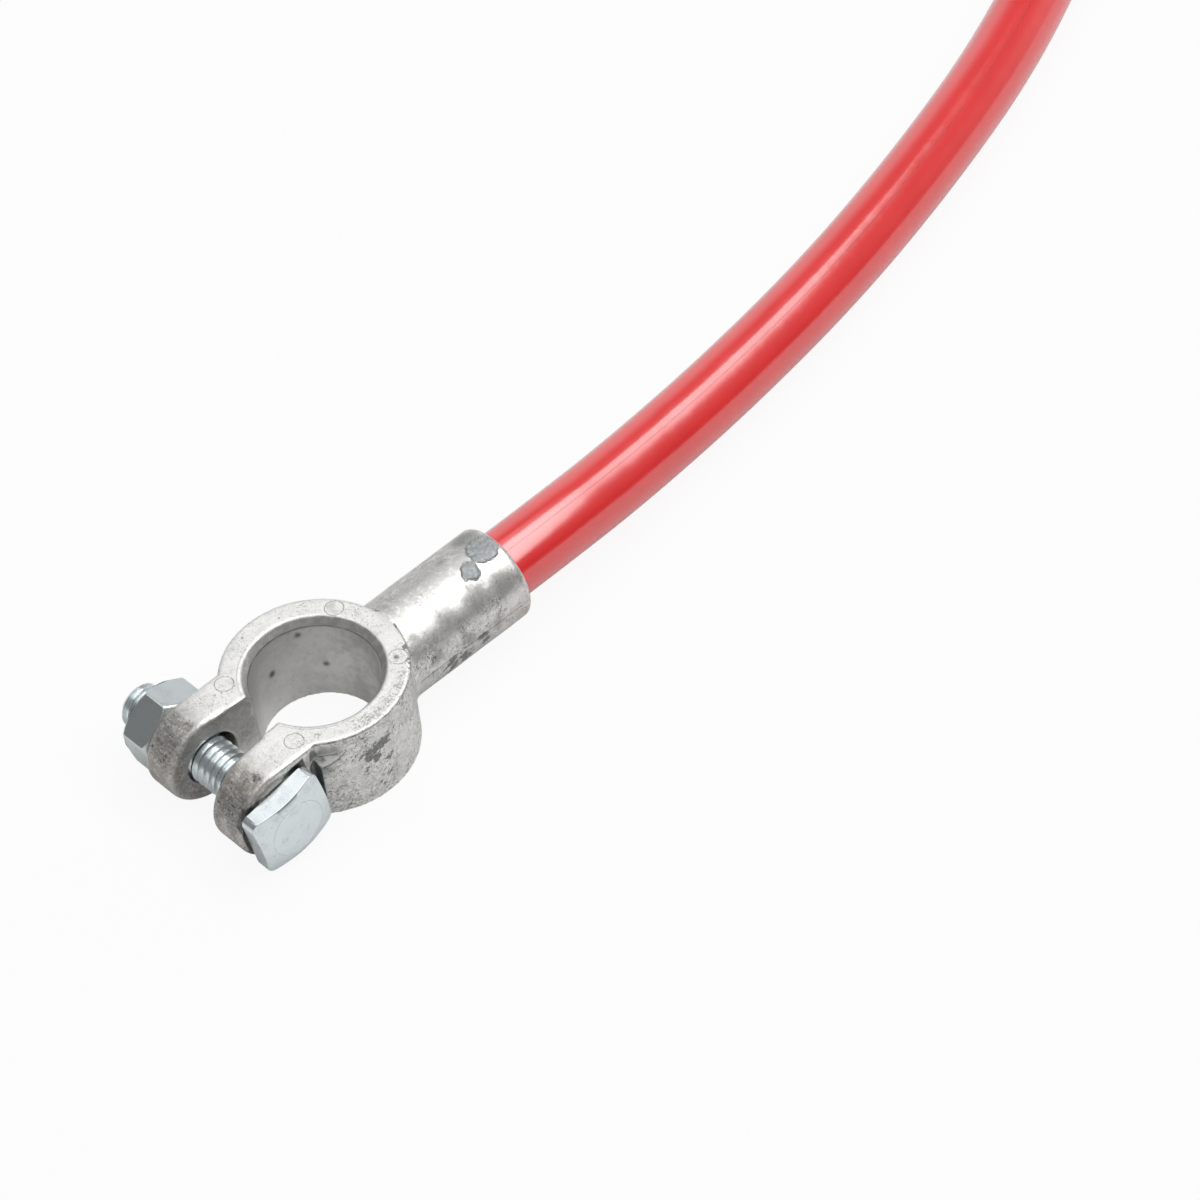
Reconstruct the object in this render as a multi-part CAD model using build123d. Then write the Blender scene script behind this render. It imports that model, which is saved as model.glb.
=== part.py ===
"""Battery terminal clamp: a cast split ring and cable barrel, its square-head bolt and nut, and its cable lead."""
import math
import os

from build123d import *

os.makedirs("parts", exist_ok=True)

# The frame: origin on the post bore's axis at the ring's lower face, +Z up the bore,
# +X toward the cable, ears toward -X, bolt along Y with its head at -Y.

# --- Casting ---
HEIGHT = 16.2              # ring and ears, floor to top face
RING_R_TOP = 14.75         # outside of the ring at the top face
RING_R_BOTTOM = 15.0       # outside of the ring at the lower face (mould draft)
BORE_R_BOTTOM = 9.4        # narrow end of the tapered post bore
POST_TAPER = 1 / 9         # diameter change per length, the standard battery post cone
MOUTH_CHAMFER = 1.0        # radial width of the machined chamfer at the bore's wide end
MOUTH_CHAMFER_DEPTH = 1.35

EAR_TIP_X = -26.2          # rounded ends of the ears
BOLT_OFF_X = -0.2          # bolt's axis from the hole's, as it rests in its clearance
BOLT_OFF_Z = -0.45
EAR_FAR_Y = 10.5           # outer face of the ear on the nut's side
EAR_NEAR_Y = -11.2         # outer face of the ear on the head's side
SEAT_R = 6.7               # round boss on each ear's outer face
NUT_SEAT = 0.9             # height of the boss under the nut
HEAD_SEAT = 0.4            # height of the boss under the head
GAP_HALF_AT_BORE = 3.35    # half width of the slot where it opens from the bore
GAP_HALF_AT_END = 4.7      # half width of the slot at the ears' ends
EAR_INNER_FILLET = 0.9
EAR_OUTER_FILLET = 0.7
BOLT_HOLE_R = 4.6

BARREL_R = 8.1             # outside of the cable barrel
BARREL_END_X = 37.3
BARREL_MOUTH_FILLET = 0.7
BARREL_NECK_FILLET = 4.0   # barrel's sides into the ring

# --- Cable ---
JACKET_R = 5.85            # 35 mm2 battery cable
CORE_R = 4.2
JACKET_GAP = 0.05          # jacket round the core
SOCKET_GAP = 0.1           # barrel round the jacket
CORE_SEAT_X = 15.5         # core's blind end in the barrel
JACKET_SEAT_X = 28.0       # jacket's end in the barrel
CABLE_REST_Z = JACKET_R + 0.05

# --- Hardware, M8 ---
THREAD_R = 3.95
NUT_THREAD_GAP = 0.05
NUT_ACROSS_FLATS = 13.0
NUT_THICK = 6.0
NUT_TURN = 12.0            # degrees from a vertex straight up
NUT_CHAMFER_R = 6.25       # flat of the nut's faces inside the chamfer
NUT_CHAMFER_ANGLE = 30.0
HEAD_WIDTH = 13.3
HEAD_DEPTH = 12.5          # the other way, a little under square
HEAD_CORNER_R = 1.5
HEAD_HEIGHT = 3.9
HEAD_CROWN_R = 4.85        # flat middle of the head's face
HEAD_CROWN_DROP = 1.6      # fall of the crown to the square's sharp corners
HEAD_TURN = 10.0           # degrees the head sits off square
BOLT_TIP_Y = 21.5
TIP_CHAMFER = 0.7

# --- Lug on the far end, 35 mm2, M8 stud ---
LUG_BARREL_R = 5.6
LUG_BARREL_LENGTH = 17.0
LUG_NECK = 7.0             # barrel flattened into the palm
LUG_PALM_WIDTH = 17.0
LUG_PALM_THICK = 2.8
LUG_EYE_R = 4.25
LUG_CORE_DEPTH = 15.0      # core inside the lug's barrel

# --- Derived ---
BARREL_Z = HEIGHT / 2
EAR_END_R = HEIGHT / 2
HOLE_X = EAR_TIP_X + EAR_END_R
HOLE_Z = HEIGHT / 2
BOLT_X = HOLE_X + BOLT_OFF_X
BOLT_Z = HOLE_Z + BOLT_OFF_Z
NUT_SEAT_Y = EAR_FAR_Y + NUT_SEAT
HEAD_SEAT_Y = EAR_NEAR_Y - HEAD_SEAT
SLOT_INNER_X = -6.0        # inside the bore
CHAMFER_START_Z = HEIGHT - MOUTH_CHAMFER_DEPTH
BORE_R_CHAMFER = BORE_R_BOTTOM + CHAMFER_START_Z * POST_TAPER / 2
MOUTH_R = BORE_R_CHAMFER + MOUTH_CHAMFER
JACKET_BORE_R = CORE_R + JACKET_GAP
NUT_BORE_R = THREAD_R + NUT_THREAD_GAP

# Cable route, first along the barrel's axis and then down on the floor and round.
ROUTE = [
    (JACKET_SEAT_X, 0.0, BARREL_Z),
    (46.0, 0.0, BARREL_Z),
    (66.0, 1.4, 6.6),
    (92.0, 4.0, CABLE_REST_Z),
    (120.0, 8.2, CABLE_REST_Z),
    (148.0, 14.9, CABLE_REST_Z),
    (176.0, 23.6, CABLE_REST_Z),
    (203.0, 36.0, CABLE_REST_Z),
    (228.0, 54.0, CABLE_REST_Z),
    (248.0, 77.0, CABLE_REST_Z),
    (260.0, 105.0, CABLE_REST_Z),
    (263.0, 133.0, CABLE_REST_Z),
    (259.0, 158.0, CABLE_REST_Z),
]
ARC_SHARE = 0.45           # of the shorter run taken by each corner's arc


def vec(a, b):
    """Vector from point a to point b."""
    return Vector(*b) - Vector(*a)


def corner_radii(points):
    """Radius of the arc at each corner of the route."""
    radii = []
    for before, here, after in zip(points, points[1:], points[2:]):
        run_in, run_out = vec(before, here), vec(here, after)
        turn = math.radians(run_in.get_angle(run_out))
        radii.append(ARC_SHARE * min(run_in.length, run_out.length) / math.tan(turn / 2))
    return radii


def route_wire(points):
    """Straight runs joined by tangent arcs through the route's points."""
    return FilletPolyline(*points, radius=corner_radii(points))


def round_bar(path, radius):
    """A round section swept along the path."""
    start = Plane(origin=path @ 0, z_dir=path % 0)
    return sweep(start * Circle(radius), path=path)


def disc(axis_origin, direction, radius, length):
    """A cylinder that starts at axis_origin and runs along direction."""
    return extrude(Plane(origin=axis_origin, z_dir=direction) * Circle(radius), amount=length)


def turned(axis_origin, direction, profile):
    """A solid of revolution from (radius, distance along direction) points."""
    plane = Plane(origin=axis_origin, z_dir=direction)
    frame = Plane(origin=axis_origin, x_dir=plane.x_dir, z_dir=-plane.y_dir)
    face = frame * make_face(Polyline(*profile, close=True))
    return revolve(face, axis=Axis(axis_origin, direction))


def slot_half(x):
    """Half width of the tapered slot between the ears at x."""
    share = (SLOT_INNER_X - x) / (SLOT_INNER_X - EAR_TIP_X)
    return GAP_HALF_AT_BORE + share * (GAP_HALF_AT_END - GAP_HALF_AT_BORE)


def slot():
    """The wedge-shaped slot from the bore out between the ears."""
    outer_x = EAR_TIP_X - 4
    plan = make_face(Polyline((SLOT_INNER_X, slot_half(SLOT_INNER_X)), (outer_x, slot_half(outer_x)),
                              (outer_x, -slot_half(outer_x)), (SLOT_INNER_X, -slot_half(SLOT_INNER_X)), close=True))
    return extrude(plan, amount=HEIGHT)


def ear(bearing_y):
    """One ear: a flat lug with its end rounded about the bolt's height, edges eased."""
    side = Plane(origin=(0, 0, 0), x_dir=(1, 0, 0), z_dir=(0, -1, 0))
    root_x = -8.0
    outline = side * (Pos((HOLE_X + root_x) / 2, HEIGHT / 2) * Rectangle(root_x - HOLE_X, HEIGHT)
                      + Pos(HOLE_X, HEIGHT / 2) * Circle(EAR_END_R))
    block = extrude(outline, amount=-bearing_y) - slot()
    outer = [e for e in block.edges() if abs(e.center().Y - bearing_y) < 0.01 and e.center().X < root_x - 0.1]
    block = fillet(outer, EAR_OUTER_FILLET)
    tip = [e for e in block.edges()
           if abs(abs(e.center().Y) - slot_half(e.center().X)) < 0.35 and e.center().X < root_x - 0.1
           and abs(e.center().Y) < slot_half(EAR_TIP_X) + 0.3]
    return fillet(tip, EAR_INNER_FILLET)


def head_notch():
    """Wedge-shaped relief in the ring's wall beside the bolt head's upper corner."""
    crease = ((-10.4, -9.4, 12.1), (-6.2, -13.5, 13.2))
    below = ((-9.5, -11.6, 10.2), (-5.0, -15.4, 12.4))
    above = ((-11.4, -11.8, 15.3), (-6.6, -15.0, 15.0))
    (a, b), (c, d), (e, f) = crease, below, above
    faces = [make_face(Polyline(*loop, close=True))
             for loop in ((a, b, d), (a, d, c), (a, e, f), (a, f, b), (c, d, f), (c, f, e), (a, c, e), (b, f, d))]
    return Solid(Shell(faces))


def casting():
    """Split ring, ears and cable barrel, cast in one piece."""
    ring = turned((0, 0, 0), (0, 0, 1), [(0, 0), (RING_R_BOTTOM, 0), (RING_R_TOP, HEIGHT), (0, HEIGHT)])
    barrel = disc((0, 0, BARREL_Z), (1, 0, 0), BARREL_R, BARREL_END_X)
    body = ring + barrel + neck() + ear(EAR_FAR_Y) + ear(EAR_NEAR_Y)
    mouth = [e for e in body.edges() if abs(e.bounding_box().min.X - BARREL_END_X) < 0.01]
    body = fillet(mouth, BARREL_MOUTH_FILLET)
    bore = turned((0, 0, 0), (0, 0, 1), [(0, 0), (BORE_R_BOTTOM, 0), (BORE_R_CHAMFER, CHAMFER_START_Z),
                                         (MOUTH_R, HEIGHT), (0, HEIGHT)])
    core_seat = disc((CORE_SEAT_X, 0, BARREL_Z), (1, 0, 0), CORE_R + JACKET_GAP, BARREL_END_X)
    jacket_seat = disc((JACKET_SEAT_X, 0, BARREL_Z), (1, 0, 0), JACKET_R + SOCKET_GAP, BARREL_END_X)
    seats = (disc((HOLE_X, EAR_FAR_Y - NUT_SEAT, HOLE_Z), (0, 1, 0), SEAT_R, 2 * NUT_SEAT)
             + disc((HOLE_X, EAR_NEAR_Y + HEAD_SEAT, HOLE_Z), (0, -1, 0), SEAT_R, 2 * HEAD_SEAT))
    bolt_hole = disc((HOLE_X, 2 * EAR_NEAR_Y, HOLE_Z), (0, 1, 0), BOLT_HOLE_R, 4 * EAR_FAR_Y)
    return body + seats - bore - slot() - core_seat - jacket_seat - bolt_hole - head_notch()


def neck():
    """Concave flare that carries the barrel's sides into the ring."""
    ring_r = (RING_R_TOP + RING_R_BOTTOM) / 2
    reach = BARREL_R + BARREL_NECK_FILLET
    centre_x = math.sqrt((ring_r + BARREL_NECK_FILLET) ** 2 - reach ** 2)
    on_ring = ring_r / (ring_r + BARREL_NECK_FILLET)
    start = (centre_x, BARREL_R)
    end = (centre_x * on_ring, reach * on_ring)
    lean = math.atan2(reach - end[1], centre_x - end[0])
    middle_angle = (math.pi / 2 + lean) / 2
    middle = (centre_x - BARREL_NECK_FILLET * math.cos(middle_angle),
              reach - BARREL_NECK_FILLET * math.sin(middle_angle))
    flare = make_face([ThreePointArc(start, middle, end), Line(end, (end[0], 0)),
                       Line((end[0], 0), (start[0], 0)), Line((start[0], 0), start)])
    solid = revolve(Pos(0, 0, 0) * flare, axis=Axis.X)
    slab = Pos(0, 0, 0) * Box(4 * ring_r, 4 * ring_r, HEIGHT)
    return Pos(0, 0, BARREL_Z) * (solid & slab)


def bolt():
    """Square-head bolt; its plain shank stands for the thread."""
    axis = (BOLT_X, HEAD_SEAT_Y, BOLT_Z)
    outline = Rot(0, 0, HEAD_TURN) * RectangleRounded(HEAD_WIDTH, HEAD_DEPTH, HEAD_CORNER_R)
    block = extrude(Plane(origin=axis, x_dir=(1, 0, 0), z_dir=(0, -1, 0)) * outline, amount=HEAD_HEIGHT)
    reach = math.hypot(HEAD_WIDTH, HEAD_DEPTH) / 2
    crown = turned(axis, (0, -1, 0), [(0, 0), (reach, 0), (reach, HEAD_HEIGHT - HEAD_CROWN_DROP),
                                      (HEAD_CROWN_R, HEAD_HEIGHT), (0, HEAD_HEIGHT)])
    length = BOLT_TIP_Y - HEAD_SEAT_Y
    shank = turned(axis, (0, 1, 0), [(0, 0), (THREAD_R, 0), (THREAD_R, length - TIP_CHAMFER),
                                     (THREAD_R - TIP_CHAMFER, length), (0, length)])
    return (block & crown) + shank


def nut():
    """Hexagon nut with its corners turned off on both faces."""
    axis = (BOLT_X, NUT_SEAT_Y, BOLT_Z)
    vertex_r = NUT_ACROSS_FLATS / math.sqrt(3)
    outline = Rot(0, 0, -NUT_TURN) * RegularPolygon(vertex_r, 6)
    block = extrude(Plane(origin=axis, x_dir=(0, 0, 1), z_dir=(0, 1, 0)) * outline, amount=NUT_THICK)
    fall = (vertex_r - NUT_CHAMFER_R) * math.tan(math.radians(NUT_CHAMFER_ANGLE))
    turned_off = turned(axis, (0, 1, 0), [(0, 0), (NUT_CHAMFER_R, 0), (vertex_r, fall), (vertex_r, NUT_THICK - fall),
                                          (NUT_CHAMFER_R, NUT_THICK), (0, NUT_THICK)])
    return (block & turned_off) - disc(axis, (0, 1, 0), NUT_BORE_R, NUT_THICK)


def cable_ends():
    """The cable's end point and direction of its last run."""
    direction = vec(ROUTE[-2], ROUTE[-1]).normalized()
    return Vector(*ROUTE[-1]), direction


def jacket(path):
    """PVC jacket, a tube along the whole route."""
    return round_bar(path, JACKET_R) - round_bar(path, JACKET_BORE_R)


def core(path):
    """Stranded copper core through the jacket, into the barrel and into the lug."""
    end, direction = cable_ends()
    lead_in = disc((CORE_SEAT_X, 0, BARREL_Z), (1, 0, 0), CORE_R, JACKET_SEAT_X - CORE_SEAT_X)
    lead_out = disc(end, direction, CORE_R, LUG_CORE_DEPTH)
    return round_bar(path, CORE_R) + lead_in + lead_out


def lug():
    """Copper tube lug: a barrel on the core and a flat palm with an eye for the stud."""
    end, direction = cable_ends()
    place = Plane(origin=end, x_dir=direction, z_dir=(0, 0, 1))
    tube = extrude(Plane.YZ * Circle(LUG_BARREL_R), amount=LUG_BARREL_LENGTH)
    palm_z = LUG_PALM_THICK / 2 - LUG_BARREL_R
    palm_x = LUG_BARREL_LENGTH + LUG_NECK
    root = Plane.YZ.offset(LUG_BARREL_LENGTH) * Circle(LUG_BARREL_R)
    flat = Plane(origin=(palm_x, 0, palm_z), x_dir=(0, 1, 0), z_dir=(1, 0, 0)) * Rectangle(
        LUG_PALM_WIDTH, LUG_PALM_THICK)
    transition = loft([root, flat])
    eye_x = palm_x + LUG_PALM_WIDTH / 2
    palm_plan = (Pos((palm_x + eye_x) / 2, 0) * Rectangle(eye_x - palm_x, LUG_PALM_WIDTH)
                 + Pos(eye_x, 0) * Circle(LUG_PALM_WIDTH / 2))
    palm = Pos(0, 0, palm_z - LUG_PALM_THICK / 2) * extrude(palm_plan, amount=LUG_PALM_THICK)
    eye = Pos(eye_x, 0, palm_z - LUG_PALM_THICK) * extrude(Circle(LUG_EYE_R), amount=2 * LUG_PALM_THICK)
    bore = extrude(Plane.YZ * Circle(JACKET_BORE_R), amount=LUG_CORE_DEPTH + SOCKET_GAP)
    return place * (tube + transition + palm - eye - bore)


def check_cable(path, solid):
    """Print the cable's arcs and compare its jacket's volume with section times length."""
    radii = corner_radii(ROUTE)
    section = math.pi * (JACKET_R ** 2 - JACKET_BORE_R ** 2)
    print("cable length", round(path.length, 1), "smallest arc", round(min(radii), 1),
          "volume", round(solid.volume), "of", round(section * path.length))


def main():
    """Build every piece and write it to its own file."""
    path = route_wire(ROUTE)
    pieces = {
        "clamp_casting": casting(),
        "clamp_bolt": bolt(),
        "clamp_nut": nut(),
        "cable_jacket": jacket(path),
        "cable_core": core(path),
        "cable_lug": lug(),
    }
    check_cable(path, pieces["cable_jacket"])
    for name, solid in pieces.items():
        box = solid.bounding_box()
        print(name, len(solid.solids()), round(solid.volume, 1), box.min, box.max)
        export_step(solid, f"parts/{name}.step")


main()
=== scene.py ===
"""Battery terminal clamp: cast clamp body, threaded hardware, red cable lead and a plain studio."""
import logging
import math
from dataclasses import dataclass
from enum import Enum
from functools import reduce
from typing import Any, Iterable, Sequence

import bmesh
import bpy
from mathutils import Matrix, Vector, noise
from mathutils.bvhtree import BVHTree


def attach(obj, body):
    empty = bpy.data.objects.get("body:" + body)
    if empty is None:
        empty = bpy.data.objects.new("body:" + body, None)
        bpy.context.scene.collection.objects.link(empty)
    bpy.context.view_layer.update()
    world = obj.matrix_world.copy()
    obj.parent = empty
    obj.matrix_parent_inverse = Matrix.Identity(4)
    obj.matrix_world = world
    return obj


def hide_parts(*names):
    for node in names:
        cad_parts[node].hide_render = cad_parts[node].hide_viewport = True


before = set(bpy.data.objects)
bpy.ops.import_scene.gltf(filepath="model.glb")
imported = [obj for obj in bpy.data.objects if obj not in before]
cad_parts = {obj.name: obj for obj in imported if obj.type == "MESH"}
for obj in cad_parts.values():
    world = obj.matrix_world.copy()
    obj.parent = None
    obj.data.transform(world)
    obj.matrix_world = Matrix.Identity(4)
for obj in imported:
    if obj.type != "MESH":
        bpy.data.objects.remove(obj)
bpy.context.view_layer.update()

LOG = logging.getLogger("terminal_clamp")
MM = 0.001
HOLLOW = "hollow"                       # point attribute: 0.5 flat, 1 in a hollow, 0 on a crest
SEED_STEP = (7.3, 3.1, 5.7)             # how far one seed moves a noise
ROUND_STEPS = 120                       # steps in one full turn of a blank
WHITE = (1.0, 1.0, 1.0)
Point = tuple[float, float, float]
Colour = tuple[float, float, float]
Span = tuple[float, float]              # where a mask is 0 and where it is 1
Band = tuple[float, float, float]       # centre, half width and soft edge
Spots = tuple[tuple[Point, float], ...]
Number = int | float


class Axis(Enum):
    """Ways that a turned piece may point: its local X, Y and Z in the clamp's frame."""

    BOLT_HEADWARD = ((1, 0, 0), (0, 0, 1), (0, -1, 0))
    BOLT_TIPWARD = ((0, 0, 1), (1, 0, 0), (0, 1, 0))


# ---------------------------------------------------------------------------
# Shader values
# ---------------------------------------------------------------------------


class Value:
    """One output of a node tree, with arithmetic that adds Math nodes."""

    def __init__(self, book: "NodeBook", socket: bpy.types.NodeSocket) -> None:
        """Hold a socket and the node tree it belongs to."""
        self.book = book
        self.socket = socket

    def _math(self, operation: str, *terms: Any) -> "Value":
        """Add one Math node.

        Args:
            operation: The Math node's operation.
            terms: Its inputs in order, values or numbers.

        Returns:
            The node's value.
        """
        return self.book.node("ShaderNodeMath", {"operation": operation}, dict(enumerate(terms)))

    def __add__(self, other: Any) -> "Value":
        """Sum."""
        return self._math("ADD", self, other)

    def __radd__(self, other: Any) -> "Value":
        """Reflected sum."""
        return self._math("ADD", other, self)

    def __sub__(self, other: Any) -> "Value":
        """Difference."""
        return self._math("SUBTRACT", self, other)

    def __rsub__(self, other: Any) -> "Value":
        """Reflected difference."""
        return self._math("SUBTRACT", other, self)

    def __mul__(self, other: Any) -> "Value":
        """Product."""
        return self._math("MULTIPLY", self, other)

    def __rmul__(self, other: Any) -> "Value":
        """Reflected product."""
        return self._math("MULTIPLY", other, self)

    def __pow__(self, other: Any) -> "Value":
        """Power."""
        return self._math("POWER", self, other)

    def absolute(self) -> "Value":
        """Magnitude."""
        return self._math("ABSOLUTE", self)

    def sine(self) -> "Value":
        """Sine."""
        return self._math("SINE", self)

    def most(self, other: Any) -> "Value":
        """Larger of two values."""
        return self._math("MAXIMUM", self, other)

    def least(self, other: Any) -> "Value":
        """Smaller of two values."""
        return self._math("MINIMUM", self, other)

    def ease(self, low: Number, high: Number) -> "Value":
        """Smooth step from 0 at low to 1 at high; low may be above high.

        Args:
            low: The value that maps to 0.
            high: The value that maps to 1.

        Returns:
            A value from 0 to 1.
        """
        rising = self.book.node("ShaderNodeMapRange", {"interpolation_type": "SMOOTHSTEP"},
                                {"Value": self, "From Min": min(low, high), "From Max": max(low, high)})
        return rising if low <= high else 1.0 - rising

    def band(self, centre: Number, half: Number, soft: Number) -> "Value":
        """1 within half of centre, falling to 0 over soft beyond it.

        Args:
            centre: Middle of the band.
            half: Half its width.
            soft: Width of each edge's fall.

        Returns:
            A value from 0 to 1.
        """
        return (self - centre).absolute().ease(half + soft, half)


def most_of(values: Iterable[Value]) -> Value:
    """Largest of several values."""
    return reduce(Value.most, values)


class NodeBook:
    """A node tree and the one way that nodes are added to it."""

    def __init__(self, tree: bpy.types.NodeTree) -> None:
        """Wrap a node tree."""
        self.tree = tree

    def node(self, kind: str, settings: dict[str, Any], inputs: dict[Any, Any], output: Any = 0) -> Value:
        """Add a node.

        Args:
            kind: Its type name.
            settings: Properties set before its inputs.
            inputs: Values, numbers or colours by socket name or index.
            output: Name or index of the output to return.

        Returns:
            The chosen output as a value.
        """
        made = self.tree.nodes.new(kind)
        for key, setting in settings.items():
            setattr(made, key, setting)
        for key, given in inputs.items():
            self.plug(made.inputs[key], given)
        return Value(self, made.outputs[output])

    def plug(self, socket: bpy.types.NodeSocket, given: Any) -> None:
        """Link a value to a socket, or set a plain number, vector or colour on it.

        Args:
            socket: The input to fill.
            given: A value, number, vector or colour.
        """
        if isinstance(given, Value):
            self.tree.links.new(given.socket, socket)
        elif isinstance(given, tuple) and socket.type == "RGBA":
            socket.default_value = (*given, 1.0)
        else:
            socket.default_value = given

    def split(self, vector: Value) -> tuple[Value, Value, Value]:
        """The three parts of a vector."""
        outs = self.node("ShaderNodeSeparateXYZ", {}, {0: vector}).socket.node.outputs
        return Value(self, outs[0]), Value(self, outs[1]), Value(self, outs[2])

    def vector(self, operation: str, output: str, **inputs: Any) -> Value:
        """Add one Vector Math node.

        Args:
            operation: The node's operation.
            output: Vector or Value.
            inputs: Its inputs a, b and scale.

        Returns:
            The chosen output.
        """
        keys = {"a": 0, "b": 1, "scale": "Scale"}
        return self.node("ShaderNodeVectorMath", {"operation": operation},
                         {keys[name]: given for name, given in inputs.items()}, output)

    def blend(self, share: Any, low: Any, high: Any) -> Value:
        """Mix two colours by a share from 0 to 1."""
        return self.node("ShaderNodeMix", {"data_type": "RGBA"}, {0: share, 6: low, 7: high}, 2)


class Paint(NodeBook):
    """A node material under construction, in millimetres on Object coordinates."""

    def __init__(self, name: str) -> None:
        """Create the material and its coordinates.

        Args:
            name: The material's name.
        """
        self.material = bpy.data.materials.new(name)
        self.material.use_nodes = True
        super().__init__(self.material.node_tree)
        self.shader = next(n for n in self.tree.nodes if n.type == "BSDF_PRINCIPLED")
        place = self.node("ShaderNodeTexCoord", {}, {}, "Object")
        self.place = self.vector("SCALE", "Vector", a=place, scale=1.0 / MM)

    def set(self, **inputs: Any) -> None:
        """Set or link the shader's inputs, named with underscores for spaces."""
        for key, given in inputs.items():
            self.plug(self.shader.inputs[key.replace("_", " ")], given)

    def stretched(self, scale: Point, turn: Point = (0.0, 0.0, 0.0)) -> Value:
        """Coordinates for a stretched pattern.

        Args:
            scale: Scale along each axis, after the turn; less than 1 draws the pattern out.
            turn: Turn about each axis in degrees.

        Returns:
            The coordinates.
        """
        angles = tuple(math.radians(a) for a in turn)
        turned = self.node("ShaderNodeMapping", {}, {"Vector": self.place, "Rotation": angles})
        return self.vector("MULTIPLY", "Vector", a=turned, b=scale)

    def noise(self, size: Number, detail: Number = 3.0, rough: Number = 0.55, at: Value | None = None,
              seed: Number = 0.0) -> Value:
        """Fractal noise from 0 to 1.

        Args:
            size: Feature size in millimetres.
            detail: Octaves.
            rough: Weight of the fine octaves.
            at: Coordinates, the object's own if left out.
            seed: Offset that makes one noise differ from another.

        Returns:
            The noise value.
        """
        moved = self.vector("ADD", "Vector", a=at or self.place, b=tuple(seed * step for step in SEED_STEP))
        return self.node("ShaderNodeTexNoise", {}, {"Vector": moved, "Scale": 1.0 / size, "Detail": detail,
                                                    "Roughness": rough}, "Fac")

    def bump(self, height: Value, distance: Number, strength: Number = 1.0, below: Value | None = None) -> Value:
        """Bump normal from a height in 0 to 1.

        Args:
            height: The height value.
            distance: Height of 1 in millimetres.
            strength: Share of the effect.
            below: A normal from another bump that this one adds to.

        Returns:
            The normal.
        """
        inputs: dict[Any, Any] = {"Height": height, "Distance": distance * MM, "Strength": strength}
        if below is not None:
            inputs["Normal"] = below
        return self.node("ShaderNodeBump", {}, inputs, "Normal")

    def distance_to(self, centre: Point) -> Value:
        """Distance in millimetres from a point."""
        return self.vector("DISTANCE", "Value", a=self.place, b=centre)

    def near(self, spots: Spots, soft: Number) -> Value:
        """Largest closeness to any of some round spots.

        Args:
            spots: Centres and radii in millimetres.
            soft: Width of each spot's edge.

        Returns:
            1 inside a spot, 0 well outside all.
        """
        return most_of(self.distance_to(centre).ease(radius + soft, max(0.0, radius - soft))
                       for centre, radius in spots)


# ---------------------------------------------------------------------------
# Finishes
# ---------------------------------------------------------------------------


class CastSkin(Paint):
    """The cast finish under construction: the coordinates, surfaces and noises that its layers share."""

    def __init__(self, plan: "CastAlloy") -> None:
        """Find where each surface of the casting lies, 0 to 1, and make the shared noises.

        Args:
            plan: The finish that holds the sizes.
        """
        super().__init__("cast_alloy")
        self.x, self.y, self.z = self.split(self.place)
        self.radius = (self.x * self.x + self.y * self.y) ** 0.5
        self.hollow = self.node("ShaderNodeAttribute", {"attribute_name": HOLLOW}, {}, "Fac")

        self.top = self.z.ease(plan.top_z - 0.25, plan.top_z - 0.06)
        self.mouth = (self.z.ease(plan.mouth_z - 0.05, plan.mouth_z + 0.1)
                      * self.radius.ease(plan.mouth_r + 0.12, plan.mouth_r - 0.02))
        self.bore = self.radius.ease(plan.bore_r + 0.12, plan.bore_r) * (1.0 - self.mouth)
        self.machined = self.mouth.most(self.bore)
        self.ear_end = self.x.ease(*plan.ear_x) * (1.0 - self.top * 0.55)
        self.flank = self.z.ease(*plan.flank_z) * self.x.ease(*plan.flank_x)
        self.crown = self.z.ease(*plan.crown_z) * self.x.ease(*plan.crown_x)
        across_slot = (self.y.absolute() + self.x * plan.slot_splay).ease(*plan.slot_half)
        self.slot_wall = across_slot * self.x.ease(*plan.slot_x)

        self.cloud = self.noise(5.5, 4.0, 0.6)
        self.mottle = self.noise(1.5, 5.0, 0.62, seed=1.0)
        self.grain = self.noise(0.22, 3.0, 0.6, seed=2.0)
        self.salt = self.noise(0.50, 4.0, 0.68, seed=14.0)
        self.pepper = self.noise(0.30, 3.0, 0.6, seed=16.0)
        self.patches = self.noise(1.0, 5.0, 0.68, seed=21.0)
        self.zone = self.noise(4.2, 3.0, 0.55, seed=17.0).ease(0.36, 0.62)
        self.fleck = (0.30 + 0.70 * self.zone) * (1.0 - 0.55 * self.slot_wall)


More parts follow.
